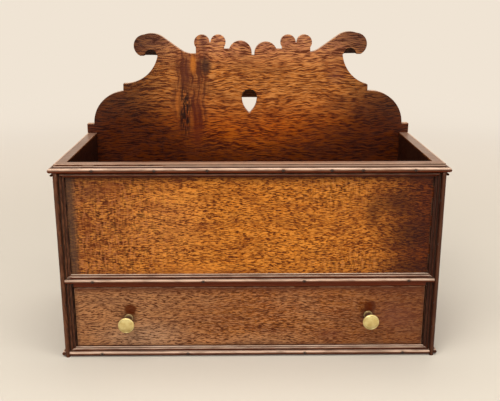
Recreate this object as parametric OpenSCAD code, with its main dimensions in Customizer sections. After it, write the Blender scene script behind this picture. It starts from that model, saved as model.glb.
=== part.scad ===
// Wall-hanging oak candle box: an open tray above one drawer, with a shaped backboard,
// applied beaded mouldings round the front and two turned brass knobs.
// Millimetres. X runs left to right, Y runs from the front to the back, Z is up.

/* [Carcase] */
// Width over the outer faces of the two side boards
carcase_w = 395; // [370:1:440]
// Depth from the front board's face to the face of the backboard
carcase_depth = 173.5; // [150:0.5:220]
// Height of the tray's rim above the surface that the box stands on
rim_h = 213.5; // [195:0.5:250]
// Thickness of the side boards
side_t = 9.5; // [8:0.5:12]
// Thickness of the tray's front board
front_t = 9.5; // [8:0.5:12]
// Thickness of the tray floor, which also roofs the drawer
floor_t = 10.5; // [10:0.5:12]
// Thickness of the base board under the drawer
base_t = 9; // [7:0.5:10]
// How deep the tray floor and the base board are housed into the side boards
housing_d = 3; // [1.5:0.5:4]
// Level of the drawer opening's lower edge
opening_bottom_z = 10.4; // [10:0.2:14]
// Height of the drawer opening
opening_h = 69.1; // [64:0.1:80]
// Number of tails that join each side board to the front board
corner_tails = 4; // [3:1:6]

/* [Backboard] */
// Thickness of the backboard
back_t = 10; // [8:0.5:14]
// How far the backboard stands out beyond each side board
back_overhang = 2; // [0:0.5:6]
// Height of the square ears above the rim
ear_h = 11.4; // [6:0.2:16]
// Width of each square ear
ear_w = 9; // [6:0.5:12]
// Radius of the round shoulders above the ears
shoulder_r = 40.2; // [36:0.2:44]
// Height of the square step above each shoulder
step_h = 7.8; // [4:0.2:12]
// Distance from the middle of each shoulder's round in to the step
step_in = 0.7; // [-2:0.1:6]
// How far the steps sit left of the centre line, as the maker cut them
step_shift = -3.2; // [-5:0.1:5]
// How much higher than that the left step was cut, and how much lower the right one
step_skew = 1.3; // [0:0.1:2]
// Distance from the middle of each shoulder's round in to the neck
neck_in = 38.9; // [37.3:0.1:41.3]
// Radius of the hollows that shape the neck
neck_r = 42.5; // [40:0.5:44]
// Height of the right scroll's flat underside above the rim
scroll_flat_h = 95.8; // [94:0.2:97]
// How much lower the left scroll was cut than the right one
scroll_drop = 2; // [0:0.1:2.4]
// Distance from the middle of each shoulder's round in to the middle of the scroll's undercut
scroll_in = 29.8; // [29.3:0.1:30.4]
// Radius of each scroll's round end
scroll_r = 13.3; // [12.8:0.1:13.6]
// Radius of each scroll's back
scroll_back_r = 25; // [24:0.1:26]
// Height of each scroll's back above its flat underside
scroll_h = 26.8; // [26.4:0.1:27.2]
// Radius of the pared undercut in each scroll
undercut_r = 7.6; // [6:0.1:7.8]
// How far the scrolls sit right of the centre line
scroll_shift = 2.7; // [-3:0.1:3]
// Angle of the slope that runs from each scroll down to the lobes
slope_angle = 35.3; // [34:0.1:36]
// Radius of the hollow at the foot of that slope
slope_foot_r = 22; // [16:0.5:24]
// Height of the foot of that slope above the scroll's flat underside
slope_foot_h = 2.8; // [1:0.1:3.4]
// Radius of the four small lobes of the crest
lobe_r = 9.2; // [8.4:0.1:9.4]
// Distance between the centres of two neighbouring small lobes
lobe_pitch = 19.6; // [19.2:0.1:21]
// Distance from the crest's centre to the nearer small lobe
lobe_x = 42.3; // [41:0.1:43]
// Height of the small lobes' tops above the rim
lobe_top_h = 119; // [117:0.2:122]
// Height of the wood between the lobes above the rim
lobe_floor_h = 102.3; // [101:0.1:104]
// Radius of the two large middle lobes of the crest
mid_lobe_r = 14; // [13.4:0.1:14.6]
// Distance from the crest's centre to the middle of each large lobe
mid_lobe_x = 15.6; // [15:0.1:16.4]
// Height of the large lobes' tops above the rim
mid_lobe_top_h = 111.8; // [110:0.1:114]
// How much lower the right large lobe was cut than the left one
mid_lobe_drop = 1.2; // [0:0.1:2]
// Height of the centre notch's floor above the rim
notch_h = 94.8; // [92:0.2:96]
// How far the lobed middle of the crest sits right of the centre line
lobe_shift = 5.8; // [-6:0.1:6]

/* [Hanging hole] */
// Radius of the hole's round upper part
hole_r = 9.2; // [8.4:0.1:10]
// Radius of the hole's bulging flanks
hole_side_r = 23.7; // [22:0.1:26]
// Radius of the hole's narrow foot
hole_foot_r = 2.2; // [2:0.1:2.6]
// Height of the centre of the round part above the rim
hole_h = 43.3; // [38:0.1:56]
// Distance from the round part's centre down to the foot's centre
hole_drop = 16.1; // [15.8:0.1:16.6]
// Distance that the hole sits right of the centre line
hole_x = 1.3; // [-4:0.1:4]
// How far below that centre the straight edge was left at the back, which a nail bears on
hole_flat = 0.8; // [0:0.1:1.6]
// Width of the worn chamfer round the hole's front
hole_wear = 1.4; // [0.8:0.1:1.6]

/* [Mouldings] */
// How far the top moulding stands out from the boards
top_reach = 7; // [6.6:0.2:10]
// Height of the sloping shoulder above the top moulding's nosing
top_cap = 3.6; // [2:0.1:5]
// Radius of the top moulding's nosing
top_nose_r = 2.6; // [2:0.1:3]
// How far the top moulding's small bead stands out
top_bead_reach = 5; // [4.4:0.1:6]
// How far the corner, middle and base mouldings stand out from the boards
frame_reach = 6; // [5.4:0.2:7]
// How far the small bead stands out on the corner, middle and base mouldings
bead_reach = 3.4; // [2.8:0.1:4]
// How far the corner mouldings stand out beyond the side boards
corner_overhang = 2.5; // [1:0.1:4]
// Radius of the corner mouldings' nosing
corner_nose_r = 2.4; // [2.2:0.1:2.8]
// Radius of the middle and base mouldings' nosing
rail_nose_r = 1.9; // [1.5:0.1:2.2]
// Width of the groove behind each nosing
groove_w = 1; // [0.6:0.1:1.6]
// Radius of the small bead next to the panels
bead_r = 1.3; // [0.9:0.1:1.5]
// Thickness of wood left at the bottom of the grooves
web_t = 1.6; // [1:0.1:2.2]
// Width of the flat lip at the panels' edge
lip_w = 1.1; // [0.6:0.1:1.6]
// Width of the flat lip on the base mouldings
base_lip_w = 0.6; // [0.4:0.1:1.2]
// Width of the flat lip on the corner mouldings
corner_lip_w = 2.2; // [1.6:0.1:3]
// How much of the tray floor's front edge shows below the middle moulding
mid_reveal = 5.3; // [4:0.1:8]
// How far the base mouldings on the sides run forward past the front board
base_return = 4.4; // [2:0.1:5]

/* [Drawer] */
// Gap between the drawer front and its opening, on every side
front_gap = 0.7; // [0.6:0.1:2]
// Thickness of the drawer front
drawer_front_t = 13; // [11:0.5:18]
// Thickness of the drawer's sides
drawer_side_t = 7.5; // [6.5:0.5:9]
// Thickness of the drawer's back
drawer_back_t = 7; // [6:0.5:9]
// Thickness of the drawer's bottom
drawer_bottom_t = 5; // [4:0.5:6]
// Width of the rebate that the drawer's bottom is nailed into
rebate_w = 4; // [3:0.5:5]
// Wood left in front of the lapped dovetails
lap_t = 4; // [3:0.5:6]
// Number of tails at each corner of the drawer
drawer_tails = 3; // [2:1:4]
// Height of the drawer's sides
drawer_side_h = 62; // [54:0.5:63]
// Gap between the drawer and the boards that it slides between
running_gap = 0.3; // [0.2:0.1:0.6]
// Gap between the drawer's back and the backboard when it is shut
back_gap = 0.4; // [0.3:0.1:2]

/* [Knobs] */
// Distance from each end of the drawer front to the middle of its knob
knob_inset = 58.5; // [40:0.5:90]
// How far the pair of knobs sits right of the centre line
knob_shift = -1.6; // [-3:0.1:3]
// How much higher the right knob was fitted than the left one
knob_rise = 2.4; // [-4:0.2:4]
// Diameter of the knobs' heads
knob_d = 17.2; // [13:0.1:22]
// How far the knobs stand out from the drawer front
knob_reach = 21.5; // [17:0.5:26]
// Thickness of the knobs' heads at the rim
knob_rim_t = 3.6; // [3:0.1:5]
// Diameter of the knobs' seats on the drawer front
knob_seat_d = 9.4; // [9:0.1:14]
// Diameter of the knobs' waists
knob_waist_d = 6.6; // [5.6:0.1:8]
// Diameter of the knobs' shanks through the drawer front
shank_d = 4.4; // [3:0.1:5.5]
// Width of the square nuts inside the drawer
nut_w = 11; // [9:0.5:14]
// Thickness of the square nuts
nut_t = 2.6; // [2:0.1:4]
// Clearance across each knob's shank
shank_clearance = 0.3; // [0.2:0.1:0.6]

/* [Nails] */
// Width of the back and side nails' heads
nail_head_w = 4.6; // [3.6:0.2:6]
// Width of the back and side nails' shanks under the head
nail_w = 2.6; // [1.8:0.2:3]
// Thickness of the back and side nails
nail_t = 1.9; // [1.2:0.1:2.4]
// Length of the back and side nails
nail_l = 30; // [24:1:36]
// Width of the fine square sprigs that hold the mouldings
sprig_w = 1.5; // [1:0.1:2]
// Length of the sprigs
sprig_l = 13; // [11:0.5:15]

/* [Hidden] */
$fn = 64;

// Colours
oak_gold = [0.62, 0.36, 0.16];
oak_brown = [0.44, 0.25, 0.13];
oak_dark = [0.27, 0.16, 0.11];
oak_pale = [0.58, 0.43, 0.27];
brass = [0.80, 0.70, 0.42];
iron = [0.20, 0.18, 0.17];

// Reach of a cut that runs right through, and of the half spaces used in cuts
eps = 0.5;
big = 600;

// Levels and faces of the carcase; the plane y = 0 is the front board's face
half_w = carcase_w / 2;
inner_half_w = half_w - side_t;
opening_top_z = opening_bottom_z + opening_h;
floor_top_z = opening_top_z + floor_t;
base_bottom_z = opening_bottom_z - base_t;
board_mid_z = [base_bottom_z + base_t / 2, opening_top_z + floor_t / 2];
front_y = -knob_reach;
rear_y = carcase_depth + back_t;

// Moulding sections run from the cap over the nosing, groove, bead and groove to the lip
function section_h(cap, nose_r, lip) =
    cap + 2 * nose_r + groove_w + 2 * bead_r + groove_w / 2 + lip;
top_h = section_h(top_cap, top_nose_r, lip_w);
corner_w = section_h(0, corner_nose_r, corner_lip_w);
mid_cap = 0.4;
// Step from a moulding's groove up to its lip, and the quirk between its cap and its nosing
lip_step = 0.7;
quirk_r = 0.7;
// Thickness of the top edge of a moulding's cap
cap_edge = 0.5;
mid_h = section_h(mid_cap, rail_nose_r, lip_w);
base_cap = opening_bottom_z - section_h(0, rail_nose_r, base_lip_w);
mid_bottom_z = opening_top_z + mid_reveal;
mid_top_z = mid_bottom_z + mid_h;
corner_out = half_w + corner_overhang;
corner_in = corner_out - corner_w;
nose_in = corner_out - 2 * corner_nose_r;
top_bottom_z = rim_h - top_h;
top_nose_bottom_z = rim_h - top_cap - 2 * top_nose_r;

// Drawer
drawer_half_w = min(corner_in, inner_half_w) - front_gap;
drawer_bottom_z = opening_bottom_z + running_gap;
drawer_front_z = opening_bottom_z + front_gap;
drawer_front_h = opening_h - 2 * front_gap;
drawer_back_y = carcase_depth - back_gap;
bottom_top_z = drawer_bottom_z + drawer_bottom_t;
// How far the drawer's back is lower than its sides
drawer_back_drop = 2;
rebate_x = drawer_half_w - drawer_side_t + rebate_w;
knob_z = drawer_front_z + drawer_front_h / 2;
knob_at = [for (side = [-1, 1]) [knob_shift + side * (drawer_half_w - knob_inset), 0,
                                 knob_z + side * knob_rise / 2]];
nut_clearance = 0.1;

// Backboard levels, and distances from its centre line
half_back = half_w + back_overhang;
shoulder_x = half_back - ear_w - shoulder_r;
step_x = shoulder_x - step_in;
neck_x = shoulder_x - neck_in;
scroll_x = shoulder_x - scroll_in;
ear_z = rim_h + ear_h;
shoulder_top_z = ear_z + shoulder_r;
step_z = shoulder_top_z + step_h;
flat_z = rim_h + scroll_flat_h;
hole_z = rim_h + hole_h;

// Each scroll is two overlapping rounds that its flat underside cuts off below: the round end,
// this far out from the undercut and up from the flat, and the back, this far in from the end
scroll_end_out = 6.8;
scroll_end_h = 12;
scroll_back_in = 7.8;
// How far the rounds and the slope between them run into one another, so that they cross
slope_blend = 0.05;

// Depth of the upright wall round a pared arch, at the backboard's face
arch_wall = 2.2;

// The wood under each pair of small lobes reaches this far beyond their centres, and the wood
// under all the lobes starts this far below the flat
lobe_root = 5.5;
lobe_edge = 0.8 * lobe_r;

// The hanging hole's flanks start a little inside its round top, and end inside its foot
hole_flank = 0.984;
hole_flank_end = 0.73 * hole_foot_r;

// Dovetails: share of each pitch that the tail takes, and the slope of its sides
tail_share = 0.62;
tail_slope = 1 / 6;

// Places of the sprigs and nails, as they were driven by hand: shares of half the width, of the
// rim's height or of the depth
top_sprigs_x = half_w * [-0.81, -0.49, -0.22, 0.17, 0.42, 0.58, 0.85];
mid_sprigs_x = half_w * [-0.84, -0.25, 0.29, 0.85];
base_sprigs_x = half_w * [-0.81, -0.34, 0.3, 0.84];
corner_sprigs_z = rim_h * [0.16, 0.29, 0.6, 0.82];
return_sprigs_y = carcase_depth * [0.17, 0.51, 0.85];
side_nails_y = carcase_depth * [0.2, 0.54, 0.88];
back_nails_z = rim_h * [0.15, 0.49, 0.71, 0.93];
back_nails_x = half_w * [-0.6, 0.02, 0.62];
drawer_sprigs_x = half_w * [-0.63, -0.02, 0.6];
drawer_sprigs_y = carcase_depth * [0.22, 0.53, 0.81];

// The origin lies under the middle of the whole box, knobs included
module placed() translate([0, -(front_y + rear_y) / 2, 0]) children();

// Turns a drawing of (y, z) into a board that is t thick and stands at x
module standing(x, t) translate([x, 0, 0]) rotate([90, 0, 90]) linear_extrude(t) children();

// Turns a drawing of (x, z) into a board that is t thick and faces the front at y
module facing(y, t) translate([0, y + t, 0]) rotate([90, 0, 0]) linear_extrude(t) children();

// Draws a right-hand piece as it is, or mirrored for the left
module handed(side) mirror([side < 0 ? 1 : 0, 0, 0]) children();

// ---------------------------------------------------------------- nails and dovetails

// A cut nail, its head's top at the origin and its point towards -Z
module cut_nail() {
    head_t = 1.4;
    head_l = 0.7 * nail_head_w;
    point_w = 0.4 * nail_w;
    translate([-nail_head_w / 2, -head_l / 2, -head_t]) cube([nail_head_w, head_l, head_t]);
    translate([0, nail_t / 2, 0]) rotate([90, 0, 0]) linear_extrude(nail_t)
        polygon([[-nail_w / 2, -head_t], [nail_w / 2, -head_t],
                 [point_w / 2, -nail_l], [-point_w / 2, -nail_l]]);
}

// A square sprig, its top at the origin and its point towards -Z
module sprig()
    translate([-sprig_w / 2, -sprig_w / 2, -sprig_l]) cube([sprig_w, sprig_w, sprig_l]);

// A row of tails that stand out along +X from the line x = 0, spread over a height. A cut for
// them runs on past their ends with the same slope.
module tails(count, height, length, past = 0) {
    pitch = height / count;
    wide = pitch * tail_share / 2;
    narrow = wide - length * tail_slope;
    end = length + past;
    end_wide = wide + past * tail_slope;
    for (i = [0:count - 1])
        translate([0, (i + 0.5) * pitch])
            polygon([[-eps, -narrow], [0, -narrow], [end, -end_wide],
                     [end, end_wide], [0, narrow], [-eps, narrow]]);
}

// ---------------------------------------------------------------- mouldings

// Section of every moulding: x is how far it stands out, y runs from its outer edge inwards
module moulding_section(reach, cap, nose_r, bead_out, lip) {
    height = section_h(cap, nose_r, lip);
    bead_y = cap + 2 * nose_r + groove_w;
    quirk_x = reach - 1.5 * nose_r;
    difference() {
        union() {
            square([web_t, height]);
            translate([0, cap]) square([reach - nose_r, 2 * nose_r]);
            translate([reach - nose_r, cap + nose_r]) circle(nose_r);
            translate([0, bead_y]) square([bead_out - bead_r, 2 * bead_r]);
            translate([bead_out - bead_r, bead_y + bead_r]) circle(bead_r);
            translate([0, height - lip]) square([web_t + lip_step, lip]);
            if (cap > 0)
                polygon([[0, 0], [cap_edge, 0], [quirk_x - quirk_r, cap], [0, cap]]);
        }
        if (cap > 2 * quirk_r)
            translate([quirk_x, cap]) circle(quirk_r);
    }
}

// A bar along +X whose section stands out towards -Y and runs down from the plane z = 0
module bar(length) rotate([0, 90, 0]) linear_extrude(length) rotate(-90) children();

module top_bar(length)
    bar(length) moulding_section(top_reach, top_cap, top_nose_r, top_bead_reach, lip_w);

// The middle and base mouldings are turned over, so that their nosing is at the bottom
module rail_bar(length, cap, lip)
    mirror([0, 0, 1]) bar(length)
        moulding_section(frame_reach, cap, rail_nose_r, bead_reach, lip);

// Everything behind the mitre at the front right corner of the carcase
module mitre_space()
    translate([half_w, 0, 0]) rotate([0, 0, -45]) translate([-big, 0, -big])
        cube([2 * big, big, 2 * big]);

// Front elevation of the right corner moulding, with mitres where its bead meets the others
module corner_outline()
    polygon([[corner_in, opening_bottom_z], [nose_in, base_cap + 2 * rail_nose_r], [nose_in, 0],
             [corner_out, 0], [corner_out, top_nose_bottom_z], [nose_in, top_nose_bottom_z],
             [corner_in, top_bottom_z]]);

// Front elevation of a rail between the corner mouldings, its nosing at the bottom
module rail_outline(bottom, cap, top) {
    nose_top = bottom + cap + 2 * rail_nose_r;
    polygon([[-nose_in, bottom], [nose_in, bottom], [nose_in, nose_top], [corner_in, top],
             [-corner_in, top], [-nose_in, nose_top]]);
}

module mid_outline() rail_outline(mid_bottom_z, mid_cap, mid_top_z);
module base_outline() rail_outline(0, base_cap, opening_bottom_z);

// Space in front of the carcase inside an outline of the front elevation
module in_front() facing(-top_reach - eps, top_reach + eps) children();

module top_moulding_front()
    color(oak_dark) difference() {
        translate([-half_w - top_reach, 0, rim_h]) top_bar(2 * (half_w + top_reach));
        for (side = [-1, 1])
            handed(side) {
                mitre_space();
                // Under the nosing it stops at the inner edge of the corner moulding's nosing
                in_front() {
                    corner_outline();
                    translate([nose_in, 0])
                        square([half_w + top_reach - nose_in, top_nose_bottom_z]);
                }
            }
        top_sprigs();
    }

module top_moulding_side(side)
    color(oak_dark) difference() {
        handed(side) difference() {
            intersection() {
                translate([half_w, -top_reach, rim_h]) rotate([0, 0, 90])
                    top_bar(carcase_depth + top_reach);
                mitre_space();
            }
            in_front() corner_outline();
        }
        top_sprigs();
    }

module corner_moulding(side)
    color(oak_dark) difference() {
        handed(side) difference() {
            intersection() {
                mirror([1, 0, 0]) translate([-corner_out, 0, 0]) rotate([0, 0, -90])
                    linear_extrude(rim_h)
                        moulding_section(frame_reach, 0, corner_nose_r, bead_reach,
                                         corner_lip_w);
                in_front() corner_outline();
            }
            in_front() mid_outline();
        }
        corner_sprigs();
    }

module mid_moulding()
    color(oak_dark) difference() {
        intersection() {
            translate([-half_w, 0, mid_bottom_z]) rail_bar(carcase_w, mid_cap, lip_w);
            in_front() mid_outline();
        }
        mid_sprigs();
    }

module base_moulding_front()
    color(oak_dark) difference() {
        intersection() {
            translate([-half_w, 0, 0]) rail_bar(carcase_w, base_cap, base_lip_w);
            in_front() base_outline();
        }
        base_sprigs();
    }

module base_moulding_side(side)
    color(oak_dark) difference() {
        handed(side) difference() {
            translate([half_w, -base_return, 0]) rotate([0, 0, 90])
                rail_bar(carcase_depth + base_return, base_cap, base_lip_w);
            in_front() corner_outline();
        }
        base_sprigs();
    }

// Sprigs through a nosing: driven from the front, or from the right-hand side
module front_sprig(x, z, reach) translate([x, -reach, z]) rotate([90, 0, 0]) sprig();
module side_sprig(y, z, reach) translate([half_w + reach, y, z]) rotate([0, 90, 0]) sprig();

module top_sprigs()
    color(iron) {
        z = rim_h - top_cap - top_nose_r;
        for (x = top_sprigs_x) front_sprig(x, z, top_reach);
        for (side = [-1, 1])
            handed(side) for (y = return_sprigs_y) side_sprig(y, z, top_reach);
    }

module corner_sprigs()
    color(iron) {
        inset = 1.2;
        off_centre = corner_overhang + inset - corner_nose_r;
        reach = frame_reach - corner_nose_r + sqrt(pow(corner_nose_r, 2) - pow(off_centre, 2));
        for (side = [-1, 1])
            handed(side) for (z = corner_sprigs_z) front_sprig(half_w - inset, z, reach);
    }

module mid_sprigs()
    color(iron)
        for (x = mid_sprigs_x)
            front_sprig(x, mid_bottom_z + mid_cap + rail_nose_r, frame_reach);

module base_sprigs()
    color(iron) {
        z = base_cap + rail_nose_r;
        for (x = base_sprigs_x) front_sprig(x, z, frame_reach);
        for (side = [-1, 1])
            handed(side) for (y = return_sprigs_y) side_sprig(y, z, frame_reach);
    }

// ---------------------------------------------------------------- carcase boards

// Nails through the backboard into the side boards, the tray floor and the base board
module back_nails()
    color(iron) {
        for (side = [-1, 1])
            handed(side) for (z = back_nails_z)
                translate([half_w - side_t / 2, rear_y, z]) rotate([-90, 0, 0]) cut_nail();
        for (x = back_nails_x, z = board_mid_z)
            translate([x, rear_y, z]) rotate([-90, 0, 0]) cut_nail();
    }

// Nails through the side boards into the ends of the tray floor and the base board
module side_nails()
    color(iron)
        for (side = [-1, 1])
            handed(side) for (y = side_nails_y, z = board_mid_z)
                translate([half_w, y, z]) rotate([0, 90, 0]) rotate([0, 0, 90]) cut_nail();

// A side board: tails at the front of the tray, housings for the tray floor and base board
module side_board(side)
    color(oak_brown) difference() {
        handed(side) difference() {
            standing(inner_half_w, side_t) {
                square([carcase_depth, floor_top_z]);
                translate([front_t, 0]) square([carcase_depth - front_t, rim_h]);
                translate([front_t, floor_top_z]) mirror([1, 0])
                    tails(corner_tails, rim_h - floor_top_z, front_t);
            }
            board_between(opening_top_z, floor_t);
            board_between(base_bottom_z, base_t);
        }
        back_nails();
        side_nails();
        corner_sprigs();
        top_sprigs();
        base_sprigs();
    }

// A level board housed into both side boards
module board_between(z, t)
    translate([-inner_half_w - housing_d, 0, z])
        cube([2 * (inner_half_w + housing_d), carcase_depth, t]);

module tray_floor()
    color(oak_dark) difference() {
        board_between(opening_top_z, floor_t);
        back_nails();
        side_nails();
        mid_sprigs();
    }

module base_board()
    color(oak_brown) difference() {
        board_between(base_bottom_z, base_t);
        back_nails();
        side_nails();
        base_sprigs();
    }

// The tray's front board, its ends cut away where the side boards' tails come through
module front_board()
    color(oak_gold) difference() {
        translate([-half_w, 0, floor_top_z]) cube([carcase_w, front_t, rim_h - floor_top_z]);
        for (side = [-1, 1])
            handed(side) standing(inner_half_w, side_t + eps)
                translate([front_t, floor_top_z]) mirror([1, 0])
                    tails(corner_tails, rim_h - floor_top_z, front_t, eps);
        corner_sprigs();
        top_sprigs();
    }

// ---------------------------------------------------------------- backboard

// The two shoulders with their ears, and the neck between the hollows above them
module lower_outline() {
    translate([-half_back, 0]) square([2 * half_back, ear_z]);
    for (side = [-1, 1])
        translate([side * shoulder_x, ear_z]) circle(shoulder_r);
    translate([-shoulder_x, ear_z]) square([2 * shoulder_x, shoulder_r]);
    difference() {
        translate([step_shift - step_x, shoulder_top_z - eps])
            square([2 * step_x, flat_z - shoulder_top_z + 2 * eps]);
        for (side = [-1, 1])
            translate([scroll_shift + side * (neck_x + neck_r),
                       step_z - side * step_skew + neck_r])
                circle(neck_r);
    }
}

// The right-hand scroll and the slope that runs down from it, drawn above its flat underside
module scroll_outline() {
    end_x = scroll_x + scroll_end_out;
    back_x = end_x - scroll_back_in;
    back_h = scroll_h - scroll_back_r;
    top_x = back_x - (scroll_back_r - slope_blend) * sin(slope_angle);
    top_h = back_h + (scroll_back_r - slope_blend) * cos(slope_angle);
    meet_x = top_x - (top_h - slope_foot_h) / tan(slope_angle);
    foot_x = meet_x - slope_foot_r * tan(slope_angle / 2);
    intersection() {
        union() {
            translate([end_x, scroll_end_h]) circle(scroll_r);
            intersection() {
                translate([back_x, back_h]) circle(scroll_back_r);
                square([end_x + scroll_r / 3, big]);
            }
            difference() {
                polygon([[lobe_x, 0], [back_x, 0], [back_x, back_h], [top_x, top_h],
                         [foot_x + slope_foot_r * sin(slope_angle),
                          slope_foot_h + slope_foot_r * (1 - cos(slope_angle))],
                         [foot_x, slope_foot_h], [lobe_x, slope_foot_h]]);
                translate([foot_x, slope_foot_h + slope_foot_r])
                    circle(slope_foot_r + slope_blend);
            }
        }
        square([big, big]);
    }
}

// The six lobes between the scrolls, and the wood that they stand on
module lobes_outline() {
    outer_x = lobe_x + lobe_pitch;
    lobe_z = rim_h + lobe_top_h - lobe_r;
    root_z = flat_z - lobe_root;
    for (side = [-1, 1]) {
        mid_lobe_z = rim_h + mid_lobe_top_h - mid_lobe_r - max(side, 0) * mid_lobe_drop;
        mirror([side < 0 ? 1 : 0, 0]) {
            for (x = [lobe_x, outer_x])
                translate([x, lobe_z]) circle(lobe_r);
            translate([mid_lobe_x, mid_lobe_z]) circle(mid_lobe_r);
            // The notch between two small lobes ends at the level of their centres
            translate([lobe_x - lobe_edge, root_z])
                square([lobe_pitch + 2 * lobe_edge, lobe_z - root_z]);
            translate([mid_lobe_x, root_z])
                square([lobe_x - mid_lobe_x, rim_h + lobe_floor_h - root_z]);
            translate([mid_lobe_x - mid_lobe_r, root_z])
                square([mid_lobe_r, mid_lobe_z - root_z]);
        }
    }
}

module backboard_outline() {
    difference() {
        lower_outline();
        // Floor of the centre notch
        translate([lobe_shift - mid_lobe_x, rim_h + notch_h]) square([2 * mid_lobe_x, big]);
    }
    translate([scroll_shift, flat_z]) scroll_outline();
    translate([scroll_shift, flat_z - scroll_drop]) mirror([1, 0]) scroll_outline();
    translate([lobe_shift, 0]) lobes_outline();
}

// One round of the hanging hole, from the front back along +Y. At the front it can be wider.
module hole_round(x, z, r, length, flare)
    translate([x, 0, z]) rotate([-90, 0, 0]) cylinder(h = length, r1 = r + flare, r2 = r);

// The hanging hole's space: a round top whose bulging flanks run down to a narrow foot
module hole_space(length, flare) {
    flank_x = hole_side_r - hole_flank * hole_r;
    flank_l = hole_drop + hole_flank_end;
    hole_round(0, 0, hole_r, length, flare);
    hole_round(0, -hole_drop, hole_foot_r, length, flare);
    intersection() {
        hole_round(-flank_x, 0, hole_side_r, length, flare);
        hole_round(flank_x, 0, hole_side_r, length, flare);
        translate([-hole_side_r, 0, -flank_l]) cube([2 * hole_side_r, length, flank_l]);
    }
}

// Cuts an arch that slopes from just behind the backboard's face to a straight edge at its back
module pared_arch(x, z, arch_h)
    intersection() {
        translate([x, 0, z]) facing(carcase_depth - eps, back_t + 2 * eps) intersection() {
            children();
            translate([-big, 0]) square([2 * big, big]);
        }
        translate([0, rear_y, z]) rotate([-atan(arch_h / (back_t - arch_wall)), 0, 0])
            translate([-big, -big, -big]) cube([2 * big, 2 * big, big]);
    }

// The hole goes right through below the straight edge, and is pared down to it above. Its front
// is worn to a chamfer all round.
module hanging_hole() {
    edge_z = hole_z - hole_flat;
    wear = hole_wear + eps;
    translate([hole_x, carcase_depth - eps, hole_z]) {
        hole_space(wear, wear);
        intersection() {
            hole_space(back_t + 2 * eps, 0);
            translate([-big, 0, -hole_flat - big]) cube([2 * big, big, big]);
        }
    }
    pared_arch(hole_x, edge_z, hole_r + hole_flat) translate([0, hole_flat]) circle(hole_r);
}

module backboard()
    color(oak_brown) difference() {
        facing(carcase_depth, back_t) backboard_outline();
        hanging_hole();
        for (side = [-1, 1])
            pared_arch(scroll_shift + side * scroll_x, flat_z - max(-side, 0) * scroll_drop,
                       undercut_r)
                circle(undercut_r);
        back_nails();
    }

// ---------------------------------------------------------------- drawer

module drawer_bottom_board()
    translate([-rebate_x, drawer_front_t - rebate_w, drawer_bottom_z])
        cube([2 * rebate_x, drawer_back_y - drawer_front_t + rebate_w, drawer_bottom_t]);

module drawer_bottom()
    color(oak_pale) difference() {
        drawer_bottom_board();
        drawer_sprigs();
    }

// Tails at the drawer's front and back corners, drawn as (y, z) on the drawer's side
module front_tails()
    translate([drawer_front_t, drawer_bottom_z]) mirror([1, 0])
        tails(drawer_tails, drawer_side_h, drawer_front_t - lap_t);

module back_tails(past = 0)
    translate([drawer_back_y - drawer_back_t, drawer_bottom_z])
        tails(drawer_tails, drawer_side_h, drawer_back_t, past);

module drawer_side(side)
    color(oak_pale) difference() {
        handed(side) standing(drawer_half_w - drawer_side_t, drawer_side_t) {
            translate([drawer_front_t, drawer_bottom_z])
                square([drawer_back_y - drawer_back_t - drawer_front_t, drawer_side_h]);
            front_tails();
            back_tails();
        }
        drawer_bottom_board();
        drawer_sprigs();
    }

module drawer_front()
    color(oak_brown) difference() {
        translate([-drawer_half_w, 0, drawer_front_z])
            cube([2 * drawer_half_w, drawer_front_t, drawer_front_h]);
        for (side = [-1, 1])
            handed(side) standing(drawer_half_w - drawer_side_t, drawer_side_t + eps)
                front_tails();
        drawer_bottom_board();
        drawer_sprigs();
        for (at = knob_at)
            translate(at - [0, eps, 0]) rotate([-90, 0, 0])
                cylinder(h = drawer_front_t + 2 * eps, d = shank_d + shank_clearance);
    }

module drawer_back()
    color(oak_pale) difference() {
        translate([-drawer_half_w, drawer_back_y - drawer_back_t, bottom_top_z])
            cube([2 * drawer_half_w, drawer_back_t,
                  drawer_bottom_z + drawer_side_h - drawer_back_drop - bottom_top_z]);
        for (side = [-1, 1])
            handed(side) standing(drawer_half_w - drawer_side_t, drawer_side_t + eps)
                back_tails(eps);
        drawer_sprigs();
    }

// Sprigs driven up through the drawer's bottom into its front, sides and back
module drawer_sprigs()
    color(iron)
        translate([0, 0, drawer_bottom_z]) {
            for (x = drawer_sprigs_x, y = [drawer_front_t - rebate_w / 2,
                                           drawer_back_y - drawer_back_t / 2])
                translate([x, y, 0]) mirror([0, 0, 1]) sprig();
            for (side = [-1, 1], y = drawer_sprigs_y)
                translate([side * (rebate_x - rebate_w / 2), y, 0]) mirror([0, 0, 1]) sprig();
        }

// ---------------------------------------------------------------- knobs

// Half profile of a knob: x is its radius, y runs out from the drawer's face
module knob_profile() {
    seat_t = 1.4;
    hollow_share = 0.56;
    shank_end = 2;
    head_y = knob_reach - knob_rim_t;
    hollow_r = (head_y - seat_t) * hollow_share;
    tail_l = drawer_front_t + nut_t + shank_end;
    translate([0, -tail_l]) square([shank_d / 2, tail_l + eps]);
    square([knob_seat_d / 2 - seat_t / 2, seat_t]);
    translate([knob_seat_d / 2 - seat_t / 2, seat_t / 2]) circle(seat_t / 2);
    difference() {
        square([knob_seat_d / 2 - seat_t / 2, head_y + eps]);
        translate([knob_waist_d / 2 + hollow_r, (head_y + seat_t) / 2]) circle(hollow_r);
    }
    translate([0, head_y]) square([knob_d / 2 - knob_rim_t / 2, knob_rim_t]);
    translate([knob_d / 2 - knob_rim_t / 2, head_y + knob_rim_t / 2]) circle(knob_rim_t / 2);
}

module knob(at)
    color(brass)
        translate(at) rotate([90, 0, 0]) rotate_extrude()
            intersection() {
                knob_profile();
                translate([0, -big]) square([big, 2 * big]);
            }

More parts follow.
